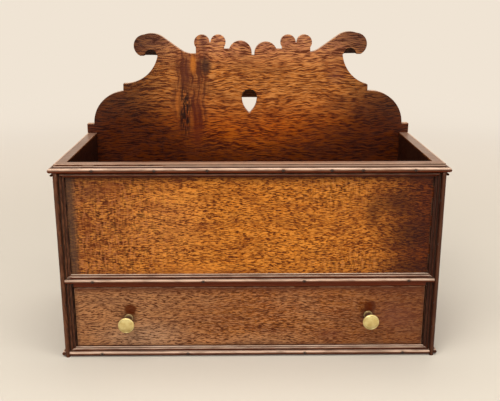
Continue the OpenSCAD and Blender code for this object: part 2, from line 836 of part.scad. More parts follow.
module knob_nut(at)
    color(iron)
        translate(at + [0, drawer_front_t, 0]) rotate([-90, 0, 0]) difference() {
            translate([-nut_w / 2, -nut_w / 2, 0]) cube([nut_w, nut_w, nut_t]);
            translate([0, 0, -eps]) cylinder(h = nut_t + 2 * eps, d = shank_d + nut_clearance);
        }

// ---------------------------------------------------------------- the nodes

placed() backboard();
placed() side_board(-1);  // side_left
placed() side_board(1);  // side_right
placed() front_board();
placed() tray_floor();
placed() base_board();
placed() top_moulding_front();
placed() top_moulding_side(-1);  // top_moulding_left
placed() top_moulding_side(1);  // top_moulding_right
placed() corner_moulding(-1);  // corner_moulding_left
placed() corner_moulding(1);  // corner_moulding_right
placed() mid_moulding();
placed() base_moulding_front();
placed() base_moulding_side(-1);  // base_moulding_left
placed() base_moulding_side(1);  // base_moulding_right
placed() back_nails();
placed() side_nails();
placed() top_sprigs();
placed() corner_sprigs();
placed() mid_sprigs();
placed() base_sprigs();
placed() drawer_front();
placed() drawer_side(-1);  // drawer_side_left
placed() drawer_side(1);  // drawer_side_right
placed() drawer_back();
placed() drawer_bottom();
placed() drawer_sprigs();
placed() knob(knob_at[0]);  // knob_left
placed() knob(knob_at[1]);  // knob_right
placed() knob_nut(knob_at[0]);  // knob_nut_left
placed() knob_nut(knob_at[1]);  // knob_nut_right
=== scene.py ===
"""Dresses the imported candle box: old waxed oak boards and mouldings, brass knobs, iron nails,
on a pale floor in soft studio light. Meshes are in metres; materials measure in millimetres."""

import math

import bmesh
import bpy
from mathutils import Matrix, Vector, noise


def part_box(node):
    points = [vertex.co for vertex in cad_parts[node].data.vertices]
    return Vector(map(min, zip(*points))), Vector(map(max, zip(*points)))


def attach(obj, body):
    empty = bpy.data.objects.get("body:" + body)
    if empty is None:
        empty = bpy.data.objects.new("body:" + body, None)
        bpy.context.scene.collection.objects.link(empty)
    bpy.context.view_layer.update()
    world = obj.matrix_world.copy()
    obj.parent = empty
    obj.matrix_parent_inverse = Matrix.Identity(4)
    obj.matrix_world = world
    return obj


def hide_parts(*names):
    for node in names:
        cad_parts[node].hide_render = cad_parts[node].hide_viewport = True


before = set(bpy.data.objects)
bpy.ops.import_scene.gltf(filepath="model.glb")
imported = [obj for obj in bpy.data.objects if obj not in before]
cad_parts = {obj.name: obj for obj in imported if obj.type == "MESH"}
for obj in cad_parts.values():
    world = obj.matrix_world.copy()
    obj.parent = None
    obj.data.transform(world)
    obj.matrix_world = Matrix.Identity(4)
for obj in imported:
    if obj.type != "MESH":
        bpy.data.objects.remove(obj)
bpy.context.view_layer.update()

MM = 0.001

# The camera, as solved from the photograph's own straight edges
CAMERA_AT = (-0.00915, -0.80327, 0.37779)
CAMERA_PITCH = 15.72
CAMERA_YAW = 0.72
CAMERA_LENS = 52.48
CAMERA_SENSOR = 36.0

# The boards at the front, from whose edges the painted shade and dirt are measured
panel_low, panel_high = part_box("front_board")
drawer_low, drawer_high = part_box("drawer_front")

# Faces of the carcase in metres, and the same ones in millimetres for the materials
FRONT_Y = panel_low.y
SIDE_X = panel_high.x
RIM_Z = panel_high.z
FRONT, SIDE, RIM = FRONT_Y / MM, SIDE_X / MM, RIM_Z / MM


# ---------------------------------------------------------------- colours and shader nodes


def srgb(red, green, blue):
    """A colour given as 0 to 255 in a picture, as the linear values that a shader takes."""
    def linear(value):
        share = value / 255
        return share / 12.92 if share <= 0.04045 else ((share + 0.055) / 1.055) ** 2.4
    return (linear(red), linear(green), linear(blue), 1.0)


class Shader:
    """A material under construction: short calls that add nodes and link them."""

    def __init__(self, name):
        self.material = bpy.data.materials.new(name)
        self.material.use_nodes = True
        self.tree = self.material.node_tree
        self.tree.nodes.clear()

    @classmethod
    def of_world(cls, world):
        """The world's node tree, ready for the same short calls."""
        shader = cls.__new__(cls)
        shader.tree = world.node_tree
        return shader

    def node(self, kind, **settings):
        made = self.tree.nodes.new("ShaderNode" + kind)
        for key, value in settings.items():
            setattr(made, key, value)
        return made

    def plug(self, socket, value):
        """Links a node's output to a socket, or writes a plain value into it."""
        if isinstance(value, bpy.types.NodeSocket):
            self.tree.links.new(value, socket)
        else:
            socket.default_value = value

    # Numbers

    def math(self, operation, *values, clamp=False):
        made = self.node("Math", operation=operation, use_clamp=clamp)
        for socket, value in zip(made.inputs, values):
            self.plug(socket, value)
        return made.outputs[0]

    def plus(self, first, second):
        return self.math("ADD", first, second)

    def minus(self, first, second):
        return self.math("SUBTRACT", first, second)

    def times(self, first, *others):
        for other in others:
            first = self.math("MULTIPLY", first, other)
        return first

    def length(self, across, up):
        return self.math("SQRT", self.plus(self.times(across, across), self.times(up, up)))

    def remap(self, value, low, high, to_low=0.0, to_high=1.0, smooth=True):
        made = self.node("MapRange", interpolation_type="SMOOTHSTEP" if smooth else "LINEAR")
        for socket, number in zip(made.inputs, (value, low, high, to_low, to_high)):
            self.plug(socket, number)
        return made.outputs[0]

    def blob(self, across, up, centre, radii, soft=1.0):
        """1 at a centre, falling to 0 at the radii, on a surface measured by two values."""
        run = self.math("DIVIDE", self.minus(across, centre[0]), radii[0])
        rise = self.math("DIVIDE", self.minus(up, centre[1]), radii[1])
        return self.remap(self.length(run, rise), 1.0, 1.0 - soft)

    # Vectors and noise

    def vector(self, *values):
        made = self.node("CombineXYZ")
        for socket, value in zip(made.inputs, values):
            self.plug(socket, value)
        return made.outputs[0]

    def scaled(self, values, sizes):
        """Values over sizes, so that noise has features of about these sizes."""
        return self.vector(*(self.math("DIVIDE", value, size)
                             for value, size in zip(values, sizes)))

    def noise(self, place, detail=2.0, roughness=0.5):
        made = self.node("TexNoise")
        self.plug(made.inputs["Vector"], place)
        made.inputs["Scale"].default_value = 1.0
        made.inputs["Detail"].default_value = detail
        made.inputs["Roughness"].default_value = roughness
        return made.outputs["Fac"]

    # What a surface point knows about itself

    def place(self):
        """The surface point in millimetres, as three values, in the piece's own frame."""
        made = self.node("SeparateXYZ")
        self.plug(made.inputs[0], self.node("TexCoord").outputs["Object"])
        return [self.times(made.outputs[i], 1 / MM) for i in range(3)]

    def facing(self, axis):
        """How much the surface faces along an axis of the piece's own frame, from -1 to 1."""
        made = self.node("SeparateXYZ")
        self.plug(made.inputs[0], self.node("TexCoord").outputs["Normal"])
        return made.outputs[axis]

    def attribute(self, name):
        return self.node("Attribute", attribute_name=name).outputs["Fac"]

    # Colours and surfaces

    def mix(self, factor, first, second, blend="MIX"):
        made = self.node("Mix", data_type="RGBA", blend_type=blend)
        self.plug(made.inputs[0], factor)
        self.plug(made.inputs[6], first)
        self.plug(made.inputs[7], second)
        return made.outputs[2]

    def ramp(self, factor, stops):
        made = self.node("ValToRGB")
        elements = made.color_ramp.elements
        while len(elements) < len(stops):
            elements.new(0.5)
        for element, (place, colour) in zip(elements, stops):
            element.position = place
            element.color = colour
        self.plug(made.inputs[0], factor)
        return made.outputs[0]

    def bump(self, height, depth, strength, under=None):
        """A relief of this depth in metres, over another one if there is one under it."""
        made = self.node("Bump")
        made.inputs["Strength"].default_value = strength
        made.inputs["Distance"].default_value = depth
        self.plug(made.inputs["Height"], height)
        if under is not None:
            self.plug(made.inputs["Normal"], under)
        return made.outputs[0]

    def surface(self, colour, roughness, normal=None, metallic=0.0, coat=0.0,
                coat_roughness=0.1, specular=0.5):
        made = self.node("BsdfPrincipled")
        self.plug(made.inputs["Base Color"], colour)
        self.plug(made.inputs["Roughness"], roughness)
        made.inputs["Metallic"].default_value = metallic
        made.inputs["Specular IOR Level"].default_value = specular
        made.inputs["Coat Weight"].default_value = coat
        made.inputs["Coat Roughness"].default_value = coat_roughness
        if normal is not None:
            self.plug(made.inputs["Normal"], normal)
        return made.outputs[0]

    def mix_shaders(self, factor, first, second):
        made = self.node("MixShader")
        for socket, value in zip(made.inputs, (factor, first, second)):
            self.plug(socket, value)
        return made.outputs[0]

    def end(self, surface):
        """The finished material, whose surface this is."""
        made = self.node("OutputMaterial")
        self.plug(made.inputs["Surface"], surface)
        return self.material


# ---------------------------------------------------------------- oak

# Which of x, y and z run along the grain, across it and into the board
GRAIN = {"x": (0, 2, 1), "y": (1, 2, 0), "z": (2, 0, 1)}


class Oak(Shader):
    """Old waxed oak. Its colour is built up in layers, each a method, over one set of
    coordinates in millimetres: along the grain, across it and into the board."""

    def __init__(self, name, grain, shift, dark, light, ripple=2.0, pores=(7.0, 1.1)):
        super().__init__(name)
        self.xyz = self.place()
        along, across, self.deep = (self.xyz[i] for i in GRAIN[grain])
        self.along = self.plus(along, shift)
        # The grain sways over the whole board, and ripples within a finger's width
        sway = self.noise(self.scaled((self.along, across), (70.0, 40.0)), detail=1.0)
        across = self.plus(across, self.times(sway, 16.0))
        wave = self.noise(self.scaled((self.along, across), (8.0, 16.0)), detail=0.6)
        self.across = self.plus(across, self.times(wave, ripple))
        figure = self.noise(self.at(60.0, 9.0, 20.0), detail=3.0, roughness=0.6)
        self.colour = self.mix(self.remap(figure, 0.33, 0.67), dark, light)
        dashes = self.noise(self.at(*pores, 6.0), detail=1.0)
        self.pores = self.remap(dashes, 0.52, 0.58)
        self.ridges = self.remap(dashes, 0.47, 0.4)
        self.fibres = self.noise(self.at(34.0, 0.8, 6.0), detail=2.0)

    def at(self, along, across, deep):
        """The wood's coordinates, for noise with features of about these sizes."""
        return self.scaled((self.along, self.across, self.deep), (along, across, deep))

    def layer(self, mask, colour, strength=1.0, blend="MIX"):
        """Lays a colour over the wood where the mask is 1, at this strength."""
        if strength != 1.0:
            mask = self.times(mask, strength)
        self.colour = self.mix(mask, self.colour, colour, blend)

    def shade(self, share):
        """Multiplies the colour by a share, such as 0.8 where it darkens."""
        self.layer(1.0, self.vector(share, share, share), blend="MULTIPLY")

    def patch(self, strength, colour, centre, radii, soft=1.0):
        """A ragged stain or worn place on the board's face, in x and z."""
        x, _, z = self.xyz
        ragged = self.noise(self.scaled((x, 0.0, z), (6.0, 1.0, 6.0)), detail=3.0)
        x = self.plus(x, self.times(ragged, 0.5 * radii[0]))
        centre = (centre[0] + 0.25 * radii[0], centre[1])
        self.layer(self.blob(x, z, centre, radii, soft), colour, strength)

    def grain_lines(self, pore_colour, strength, ridge_colour=None, ridge=0.3):
        """Fine fibres along the grain, the dark open pores and the paler wood between them."""
        self.shade(self.remap(self.fibres, 0.3, 0.7, 0.7, 1.15))
        if ridge_colour is not None:
            self.layer(self.ridges, ridge_colour, ridge)
        self.layer(self.pores, pore_colour, strength)

    def flecks(self, mask, colour, strength, dark):
        """Medullary rays, which run across the grain where the board was cut on the quarter:
        pale flecks of this strength, and between them wood that is darker by the share dark."""
        bend = self.times(self.noise(self.at(16.0, 12.0, 9.0)), 5.0)
        rays = self.noise(self.scaled((self.plus(self.along, bend), self.xyz[2]), (2.3, 14.0)),
                          detail=1.2)
        self.shade(self.minus(1.0, self.times(self.remap(rays, 0.48, 0.36), mask, dark)))
        self.layer(self.times(self.remap(rays, 0.52, 0.66), mask), colour, strength)

    def mottle(self, colour, strength, size=30.0):
        """Cloudy old wax and dirt."""
        cloud = self.noise(self.at(size, size * 0.6, size), detail=4.0, roughness=0.6)
        self.layer(self.remap(cloud, 0.48, 0.68), colour, strength)

    def edge_shade(self, low, high, reach):
        """1 at the rim of an upright panel between two corners, and 0 at a reach inside it."""
        x, _, z = self.xyz
        gaps = [self.minus(x, low.x / MM), self.minus(high.x / MM, x),
                self.minus(z, low.z / MM), self.minus(high.z / MM, z)]
        nearest = self.math("MINIMUM", self.math("MINIMUM", gaps[0], gaps[1]),
                            self.math("MINIMUM", gaps[2], gaps[3]))
        return self.remap(nearest, reach, 0.0)

    def below_rim(self):
        """1 under the worn arris of the tray's rim, and 0 on the rim itself."""
        return self.remap(self.xyz[2], RIM - 0.6, RIM - 2.5)

    def worn(self, colour, strength):
        """Arrises rubbed to a paler colour, patchily."""
        patchy = self.remap(self.noise(self.at(9.0, 9.0, 9.0), detail=3.0), 0.38, 0.62)
        self.layer(self.times(self.attribute("arris"), patchy), colour, strength)

    def top_lit(self, colour, strength, start=0.5, full=0.9):
        """Upward faces painted pale: wear with a painted reflection of the room above."""
        patchy = self.remap(self.noise(self.at(24.0, 5.0, 8.0), detail=3.0), 0.3, 0.6, 0.72, 1.0)
        self.layer(self.times(self.remap(self.facing(2), start, full), patchy), colour, strength)

    def wax(self, coat=0.3, coat_roughness=0.16, rough=(0.34, 0.5), specular=0.12):
        """The finished material: pores and tool marks in the surface under a wax polish."""
        planed = self.noise(self.at(60.0, 14.0, 30.0), detail=1.0)
        normal = self.bump(planed, 0.5 * MM, 0.5)
        height = self.minus(self.times(self.fibres, 0.35), self.pores)
        normal = self.bump(height, 0.1 * MM, 1.0, normal)
        sheen = self.remap(self.noise(self.at(25.0, 12.0, 20.0), detail=3.0), 0.3, 0.7, *rough)
        return self.end(self.surface(self.colour, sheen, normal, coat=coat,
                                     coat_roughness=coat_roughness, specular=specular))


def front_panel_oak():
    """The tray's front: golden in the middle, browner and quartered towards both ends, with a
    dark red right end."""
    oak = Oak("front_board_oak", "x", 40.0, srgb(172, 96, 20), srgb(202, 122, 34),
              ripple=1.5, pores=(3.8, 0.68))
    x, y, z = oak.xyz
    # The ground: brown to the left, red to the right, and a worn golden place between
    oak.layer(oak.remap(x, -70.0, -165.0), srgb(138, 76, 34), 0.85)
    oak.layer(oak.remap(x, 70.0, 190.0, smooth=False), srgb(112, 42, 6), 0.6)
    oak.layer(oak.blob(x, z, (-84.0, 150.0), (64.0, 64.0)), srgb(216, 144, 80), 0.4)
    oak.grain_lines(srgb(78, 26, 2), 0.95, srgb(232, 160, 72), 0.5)
    # Rays at the left end, and above and below the dark place on the right
    oak.flecks(oak.remap(x, -50.0, -130.0), srgb(172, 110, 64), 0.5, 0.42)
    right_rays = oak.math("MAXIMUM", oak.blob(x, z, (95.0, 186.0), (85.0, 40.0)),
                          oak.blob(x, z, (110.0, 106.0), (80.0, 26.0)))
    oak.flecks(right_rays, srgb(200, 134, 70), 0.45, 0.4)
    oak.mottle(srgb(112, 50, 14), 0.4)
    # Stains: strength, colour, and the centre and radii in x and z
    for stain in ((0.6, srgb(58, 16, 4), (150.0, 172.0), (34.0, 20.0)),  # the dark right end
                  (0.6, srgb(58, 16, 4), (166.0, 138.0), (44.0, 30.0)),
                  (0.6, srgb(58, 16, 4), (128.0, 160.0), (14.0, 30.0)),
                  (0.6, srgb(58, 16, 4), (172.0, 100.0), (46.0, 16.0)),
                  (0.6, srgb(92, 50, 30), (-166.0, 184.0), (22.0, 16.0)),  # the top left corner
                  (0.35, srgb(120, 60, 26), (-140.0, 186.0), (32.0, 12.0)),
                  (0.35, srgb(216, 136, 56), (-56.0, 97.0), (64.0, 14.0))):  # rubbed low down
        oak.patch(*stain)
    # Darker at the right end and the left edge; painted shade and dirt along the mouldings
    oak.layer(oak.remap(x, 108.0, 186.0), srgb(140, 108, 92), blend="MULTIPLY")
    oak.layer(oak.edge_shade(panel_low, panel_high, 13.0), srgb(60, 24, 10), 0.42)
    # Painted shadow under the top moulding
    oak.layer(oak.remap(z, 189.0, 200.0), srgb(66, 26, 10), 0.5)
    oak.layer(oak.remap(x, -176.0, -184.0), srgb(68, 50, 40), 0.8)
    # The board's inner face, dark as the rest of the tray: dark oak under painted shade
    inner = oak.times(oak.remap(y, FRONT + 5.0, FRONT + 9.0), oak.below_rim(),
                      oak.remap(oak.math("ABSOLUTE", x), SIDE - 2.0, SIDE - 4.0))
    oak.layer(inner, srgb(32, 12, 7), 0.9)
    # Upward faces painted pale: a painted reflection of the room above, over wear
    oak.top_lit(srgb(126, 97, 80), 0.95, 0.2, 0.7)
    oak.worn(srgb(150, 96, 52), 0.4)
    return oak.wax(coat=0.1, coat_roughness=0.2)


def drawer_front_oak():
    """The drawer's front: plain brown oak with a grey bloom of old wax, paler low down on the
    left, and dark polish left round each knob, with a painted reflection of it above."""
    oak = Oak("drawer_front_oak", "x", -130.0, srgb(124, 64, 16), srgb(164, 98, 34),
              ripple=2.0, pores=(4.2, 0.62))
    x, _, z = oak.xyz
    # The ground: warm in the middle, and a grey bloom to the left and low down
    oak.layer(oak.blob(x, z, (40.0, 66.0), (90.0, 40.0)), srgb(148, 78, 18), 0.6)
    oak.mottle(srgb(152, 104, 66), 0.45, 55.0)
    oak.layer(oak.remap(x, -10.0, -125.0), srgb(162, 116, 78), 0.65)
    oak.patch(0.65, srgb(186, 152, 122), (-118.0, 22.0), (70.0, 26.0))
    oak.patch(0.45, srgb(176, 128, 90), (5.0, 16.0), (110.0, 16.0))
    oak.grain_lines(srgb(72, 30, 8), 0.9, srgb(196, 144, 98), 0.45)
    # Red and dark places to the right, and painted shade with dirt along every edge
    oak.patch(0.5, srgb(96, 42, 26), (86.0, 24.0), (26.0, 12.0))
    oak.patch(0.45, srgb(128, 76, 62), (158.0, 44.0), (34.0, 22.0))
    oak.layer(oak.remap(x, 60.0, 180.0), srgb(88, 42, 20), 0.6)
    # Painted shadow of the mid moulding along the top
    oak.layer(oak.remap(z, 69.0, 80.0), srgb(96, 42, 10), 0.8)
    oak.layer(oak.edge_shade(drawer_low, drawer_high, 5.0), srgb(74, 40, 26), 0.45)
    # Dark polish round each knob's seat; above it, a painted reflection and shadow of the knob
    for name in ("knob_left", "knob_right"):
        low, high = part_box(name)
        centre = (low + high) / (2 * MM)
        oak.patch(0.75, srgb(60, 28, 14), (centre.x, centre.z), (11.0, 11.0), 0.6)
        oak.patch(0.9, srgb(78, 28, 4), (centre.x + 2.0, centre.z + 10.0), (8.5, 7.5), 0.45)
    oak.worn(srgb(190, 146, 110), 0.4)
    return oak.wax(coat=0.3, coat_roughness=0.08, specular=0.08)


def backboard_oak():
    """The backboard: golden in the middle, dark in the tray and at the shoulders, partly painted
    shade, with a knotty streak to the left of the hanging hole."""
    oak = Oak("backboard_oak", "x", 15.0, srgb(160, 88, 26), srgb(178, 104, 38),
              ripple=2.6, pores=(9.5, 0.85))
    x, _, z = oak.xyz
    # The ground: greyer in the crest, and darker away from the middle and down into the tray
    oak.layer(oak.remap(z, RIM + 72.0, RIM + 116.0), srgb(164, 112, 94), 0.65)
    oak.grain_lines(srgb(84, 34, 8), 0.95, srgb(220, 154, 88), 0.5)
    # Both darkenings below are partly darker oak and partly painted shade
    middle = oak.blob(x, z, (8.0, RIM + 66.0), (196.0, 128.0))
    oak.layer(oak.remap(middle, 0.6, 0.0), srgb(120, 108, 106), blend="MULTIPLY")
    oak.layer(oak.remap(z, RIM + 62.0, RIM + 2.0), srgb(226, 180, 92), blend="MULTIPLY")
    # The streak drifts as it runs up the board: dark and golden strips, and a core of specks
    drift = oak.times(oak.noise(oak.scaled((0.0, 0.0, z), (1.0, 1.0, 30.0))), 14.0)
    drifted = oak.plus(x, drift)
    streak = oak.times(oak.blob(drifted, z, (-63.0, RIM + 50.0), (26.0, 96.0), 0.5),
                       oak.remap(z, RIM - 6.0, RIM + 24.0, 0.3, 1.0))
    strips = oak.noise(oak.scaled((drifted, 0.0, z), (3.4, 1.0, 34.0)), detail=2.0)
    oak.layer(streak, srgb(100, 44, 18), 0.5)
    oak.layer(oak.times(streak, oak.remap(strips, 0.46, 0.58)), srgb(70, 26, 10), 0.8)
    oak.layer(oak.times(streak, oak.remap(strips, 0.42, 0.34)), srgb(186, 104, 36), 0.35)
    specks = oak.noise(oak.scaled((x, 0.0, z), (2.0, 1.0, 11.0)), detail=2.0)
    core = oak.blob(x, z, (-78.0, RIM + 27.0), (11.0, 46.0), 0.7)
    oak.layer(oak.times(core, oak.remap(specks, 0.43, 0.53)), srgb(26, 9, 5), 0.95)
    # Stains: strength, colour, the centre and radii in x and z, and how soft the edge is
    for stain in ((0.7, srgb(204, 120, 40), (-67.0, RIM + 84.0), (5.0, 16.0), 0.7),  # sapwood
                  (0.75, srgb(84, 38, 22), (-76.0, RIM + 74.0), (8.0, 26.0), 0.7),
                  (0.75, srgb(84, 28, 10), (-63.0, RIM + 16.0), (10.0, 44.0), 0.7),
                  (0.4, srgb(190, 108, 38), (-86.0, RIM + 34.0), (5.0, 20.0)),  # beside the core
                  (0.35, srgb(170, 92, 30), (-70.0, RIM + 14.0), (4.5, 16.0)),
                  (0.85, srgb(46, 24, 20), (-52.0, RIM + 82.0), (10.0, 15.0), 0.7),  # the knot
                  (0.5, srgb(70, 26, 24), (-54.0, RIM + 110.0), (7.0, 18.0), 0.8),
                  (0.5, srgb(98, 50, 40), (106.0, RIM + 72.0), (18.0, 20.0))):  # right of the hole
        oak.patch(*stain)
    oak.mottle(srgb(80, 34, 12), 0.3, 40.0)
    # Painted shade on the undersides of the scrolls and of the hole's pared arch
    oak.layer(oak.remap(oak.facing(2), -0.2, -0.7), srgb(40, 14, 6), 0.85)
    # The side to the wall was never polished: grey-brown, dusty, with open pores
    back = oak.remap(oak.facing(1), 0.5, 0.9)
    oak.layer(back, srgb(104, 74, 52), 0.9)
    dust = oak.remap(oak.noise(oak.at(70.0, 40.0, 30.0), detail=3.0), 0.4, 0.65)
    oak.layer(oak.times(back, dust), srgb(70, 48, 36), 0.6)
    oak.layer(oak.times(back, oak.pores), srgb(50, 33, 24), 0.6)
    # Upward edges painted pale: a painted reflection over wear
    oak.top_lit(srgb(176, 140, 112), 0.8)
    oak.worn(srgb(132, 84, 56), 0.6)
    return oak.wax(coat=0.12, coat_roughness=0.24)


def carcase_oak(name, grain, shift):
    """The side boards and rails: dark outside, darker still inside the tray and below it with
    painted shade, and pale along the rim with a painted reflection over rubbed wear."""
    oak = Oak(name, grain, shift, srgb(98, 52, 26), srgb(140, 82, 42))
    x, y, z = oak.xyz
    oak.grain_lines(srgb(54, 24, 10), 0.7, srgb(160, 104, 62), 0.3)
    oak.mottle(srgb(64, 32, 20), 0.5, 45.0)
    from_middle = oak.math("ABSOLUTE", x)
    # Painted shade, over dark oak, inside the tray and below it
    within = oak.times(oak.remap(from_middle, SIDE - 1.5, SIDE - 4.0), oak.below_rim())
    oak.layer(within, srgb(18, 4, 4), 0.94)
    # The tray's bottom is scuffed
    bottom = oak.times(within, oak.remap(oak.facing(2), 0.5, 0.9))
    oak.layer(bottom, srgb(52, 29, 17), 0.8)
    oak.layer(oak.times(bottom, oak.pores), srgb(24, 11, 6), 0.6)
    # The tray floor's and the base board's front edges were polished with the mouldings
    rail = oak.remap(from_middle, SIDE - 9.0, SIDE - 11.0)
    face = oak.times(oak.remap(y, FRONT + 0.8, FRONT + 0.4), rail)
    oak.layer(face, srgb(118, 46, 8), 0.85)
    # The rim's top painted pale: a painted reflection of the bright room, over rubbed wear
    at_rim = oak.remap(z, RIM - 2.5, RIM - 0.6)
    oak.layer(oak.times(at_rim, oak.remap(oak.facing(2), 0.2, 0.7)), srgb(112, 88, 74), 0.9)
    oak.worn(srgb(150, 108, 80), 0.5)
    return oak.wax(coat=0.2)


def moulding_oak(name, grain, shift):
    """The mouldings: dark and polished, nearly black in the grooves, in painted shade underneath,
    and pale with painted highlights over wear on the nosings' crowns and the rim's shoulder."""
    oak = Oak(name, grain, shift, srgb(70, 38, 24), srgb(98, 60, 40), ripple=1.0, pores=(8.0, 1.1))
    x, _, z = oak.xyz
    upright = grain == "z"
    oak.grain_lines(srgb(40, 17, 10), 0.5, srgb(126, 84, 60), 0.3)
    oak.mottle(srgb(50, 26, 18), 0.5, 22.0)
    oak.layer(oak.remap(x, 150.0, 190.0), srgb(46, 18, 10), 0.75)
    # Reach is 0 at the boards and 1 at the crown of the nosing
    reach = oak.attribute("reach")
    upward = oak.facing(2)
    grooves = oak.times(oak.remap(reach, 0.42, 0.24), oak.remap(upward, 0.6, 0.3),
                        oak.remap(z, RIM - 2.8, RIM - 3.2))
    oak.layer(grooves, srgb(32, 13, 8) if upright else srgb(74, 27, 6), 0.88)
    # Patches of wear, which also break up the painted highlights below
    rubbed = oak.remap(oak.noise(oak.at(26.0, 4.0, 4.0), detail=3.0), 0.35, 0.6, 0.5, 1.0)
    oak.layer(oak.times(oak.remap(reach, 0.85, 1.0), rubbed), srgb(120, 80, 58), 0.3)
    # Painted highlights over wear on upward faces, none in the shadow of the top nosing
    nosing_shadow = oak.times(oak.remap(z, RIM - 8.0, RIM - 9.0), oak.remap(z, RIM - 20.0, RIM - 15.0))
    pale = oak.times(oak.remap(upward, 0.0, 0.75), rubbed,
                     oak.remap(reach, 0.35, 0.9, 0.6, 1.0),
                     oak.minus(1.0, oak.times(nosing_shadow, 0.85)))
    oak.layer(pale, srgb(192, 164, 144))
    # Painted highlights with wear on the lip by the panel and the rim's shoulder; the quirk below
    # it
    lip = oak.times(oak.remap(upward, 0.4, 0.9), oak.remap(reach, 0.4, 0.2),
                    oak.remap(z, RIM - 40.0, RIM - 60.0), rubbed)
    oak.layer(lip, srgb(206, 190, 172), 0.7)
    shoulder = oak.times(oak.remap(z, RIM - 3.0, RIM - 2.4), oak.remap(upward, 0.0, 0.4))
    oak.layer(shoulder, srgb(178, 150, 130), 0.9)
    quirk = oak.times(oak.remap(z, RIM - 4.6, RIM - 4.0), oak.remap(z, RIM - 2.5, RIM - 2.9),
                      oak.remap(reach, 0.68, 0.6))
    oak.layer(quirk, srgb(50, 20, 8), 0.9)
    # Painted shade on every face that looks down
    oak.layer(oak.remap(upward, -0.05, -0.5), srgb(112, 42, 8), 0.9)
    if upright:
        flat = oak.times(oak.remap(oak.facing(1), -0.8, -0.97), oak.remap(reach, 0.3, 0.2))
        oak.layer(oak.times(flat, rubbed), srgb(132, 112, 96), 0.6)
    oak.worn(srgb(168, 128, 102), 0.25)
    # Iron from the sprigs has blackened the oak round them
    oak.layer(oak.attribute("stain"), srgb(14, 8, 8))
    return oak.wax(coat=0.1, coat_roughness=0.14, rough=(0.34, 0.48), specular=0.08)


def inner_oak(name, grain, shift):
    """The drawer's sides, back and bottom: bare oak that never had polish."""
    oak = Oak(name, grain, shift, srgb(146, 108, 70), srgb(182, 142, 98))
    oak.grain_lines(srgb(92, 62, 38), 0.45)
    oak.mottle(srgb(98, 70, 48), 0.45, 35.0)
    oak.worn(srgb(104, 74, 50), 0.6)
    return oak.wax(coat=0.0, rough=(0.6, 0.75))


# ---------------------------------------------------------------- metal


def brass():
    """Old lacquered brass: pale on the rubbed face, olive under the rim with a painted dark
    reflection, dark in the neck.
    """
    shader = Shader("knob_brass")
    x, y, z = shader.place()
    cloud = shader.noise(shader.scaled((x, y, z), (5.0, 5.0, 5.0)), detail=4.0)
    colour = shader.mix(shader.remap(cloud, 0.35, 0.7), srgb(214, 198, 136), srgb(196, 172, 104))
    # A painted dark reflection and shade on the faces under the rim that look down
    under = shader.times(shader.remap(shader.facing(2), -0.05, -0.5), 0.8)
    colour = shader.mix(under, colour, srgb(112, 92, 40))
    # Reach is 0 at the drawer and 1 at the middle of the knob's face
    reach = shader.attribute("reach")
    neck = shader.times(shader.remap(reach, 0.82, 0.76), shader.remap(reach, 0.1, 0.2, 0.6, 1.0))
    colour = shader.mix(neck, colour, srgb(92, 68, 54))
    fine = shader.vector(shader.times(x, 1.6), y, shader.times(z, 1.6))
    normal = shader.bump(shader.noise(fine, detail=3.0), 0.05 * MM, 0.6)
    rough = shader.remap(cloud, 0.3, 0.7, 0.3, 0.44)
    return shader.end(shader.surface(colour, rough, normal, metallic=0.55, coat=0.3))


def iron():
    """Dark rusted iron of the nails, the sprigs and the nuts."""
    shader = Shader("iron")
    rust = shader.noise(shader.scaled(shader.place(), (1.5, 1.5, 1.5)), detail=5.0, roughness=0.7)
    colour = shader.ramp(rust, [(0.35, srgb(26, 22, 24)), (0.6, srgb(56, 42, 36)),
                                (0.8, srgb(98, 58, 36))])
    rough = shader.remap(rust, 0.3, 0.7, 0.45, 0.8)
    return shader.end(shader.surface(colour, rough, shader.bump(rust, 0.2 * MM, 0.8),
                                     metallic=0.4))


# ---------------------------------------------------------------- meshes

WELD = 0.002 * MM                # points nearer than this are one point
FLAT = math.radians(0.7)         # faces that meet at less than this are one face
SHARP = math.radians(50)         # arrises sharper than this are worn round
SHORTEST = 5                     # arrises shorter than this many bevels stay sharp
CREASE = math.radians(38)        # shading breaks at edges sharper than this
SLOW_WEAR, FAST_WEAR = 28.0, 160.0   # waves of wear to the metre
WEAR_START = Vector((3.1, 1.7, 0.4))
DENT_RADIUS, DENT_DEPTH = 2.2 * MM, 0.7 * MM
STAIN_RADIUS = 2.3 * MM
DENT_CUTS = (-2.4, -1.3, 1.3, 2.4)   # extra cuts beside each sprig, in millimetres
REACH, TOP_REACH = 6 * MM, 7 * MM    # how far the mouldings stand out from the boards


def islands(mesh):
    """The middle of each loose part of a mesh."""
    bm = bmesh.new()
    bm.from_mesh(mesh)
    bmesh.ops.remove_doubles(bm, verts=bm.verts, dist=WELD)
    left = set(bm.verts)
    middles = []
    for first in bm.verts:
        if first not in left:
            continue
        left.remove(first)
        part = [first]
        for vert in part:
            for edge in vert.link_edges:
                other = edge.other_vert(vert)
                if other in left:
                    left.remove(other)
                    part.append(other)
        low = Vector(min(v.co[i] for v in part) for i in range(3))
        high = Vector(max(v.co[i] for v in part) for i in range(3))
        middles.append((low + high) / 2)
    bm.free()
    return middles


def sprig_heads(node, reach):
    """Where the sprigs of a CAD node come out of mouldings that stand out this far."""
    heads = []
    for point in islands(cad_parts[node].data):
        if abs(point.x) > SIDE_X - 2 * MM and point.y > FRONT_Y:
            heads.append(Vector((math.copysign(SIDE_X + reach, point.x), point.y, point.z)))
        else:
            heads.append(Vector((point.x, FRONT_Y - reach, point.z)))
    return heads


def reach_of(point, full):
    """How far a point stands out in front of or beside the carcase, as a share of full."""
    return max(FRONT_Y - point.y, abs(point.x) - SIDE_X) / full


def slice_along(bm, axis, places):
    """Cuts every face at planes across an axis, so that long arrises can wander."""
    normal = Vector([1.0 if i == axis else 0.0 for i in range(3)])
    for place in places:
        bmesh.ops.bisect_plane(bm, geom=bm.verts[:] + bm.edges[:] + bm.faces[:],
                               plane_co=normal * place, plane_no=normal, dist=WELD / 2)


